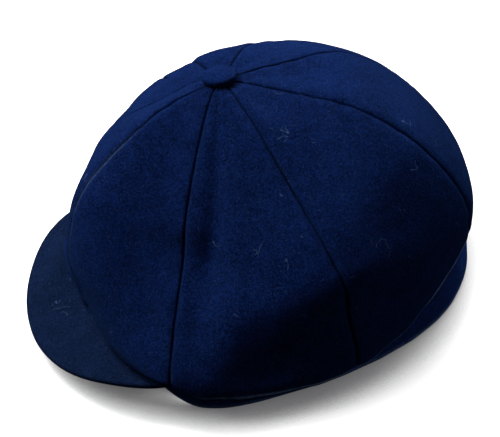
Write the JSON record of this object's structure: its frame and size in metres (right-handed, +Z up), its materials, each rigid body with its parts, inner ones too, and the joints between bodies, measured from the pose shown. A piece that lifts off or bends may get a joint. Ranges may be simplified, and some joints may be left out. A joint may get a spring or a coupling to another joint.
{
  "type": "schoolboy cap",
  "caption": "Soft navy wool schoolboy cap: radial crown panels meeting under a covered button, a narrow headband and a short curved peak, hollow and open below.",
  "frame": {"origin": "on the table under the middle of the cap's box, where the headband's lowest edge rests", "axes": "+Z up, the peak points to -Y and the wearer's left is +X"},
  "size_m": [0.1942, 0.212, 0.1154],
  "materials": {
    "wool": "brushed navy wool felt, matt with a soft nap",
    "band_wool": "navy wool strip, matt",
    "peak_wool": "navy wool stretched smooth over the peak, matt"
  },
  "bodies": {
    "root": {"crown_panel_1": "wool", "crown_panel_2": "wool", "crown_panel_3": "wool", "crown_panel_4": "wool", "crown_panel_5": "wool", "crown_panel_6": "wool", "crown_panel_7": "wool", "crown_panel_8": "wool", "band": "band_wool", "peak": "peak_wool", "button": "wool"}
  },
  "joints": []
}
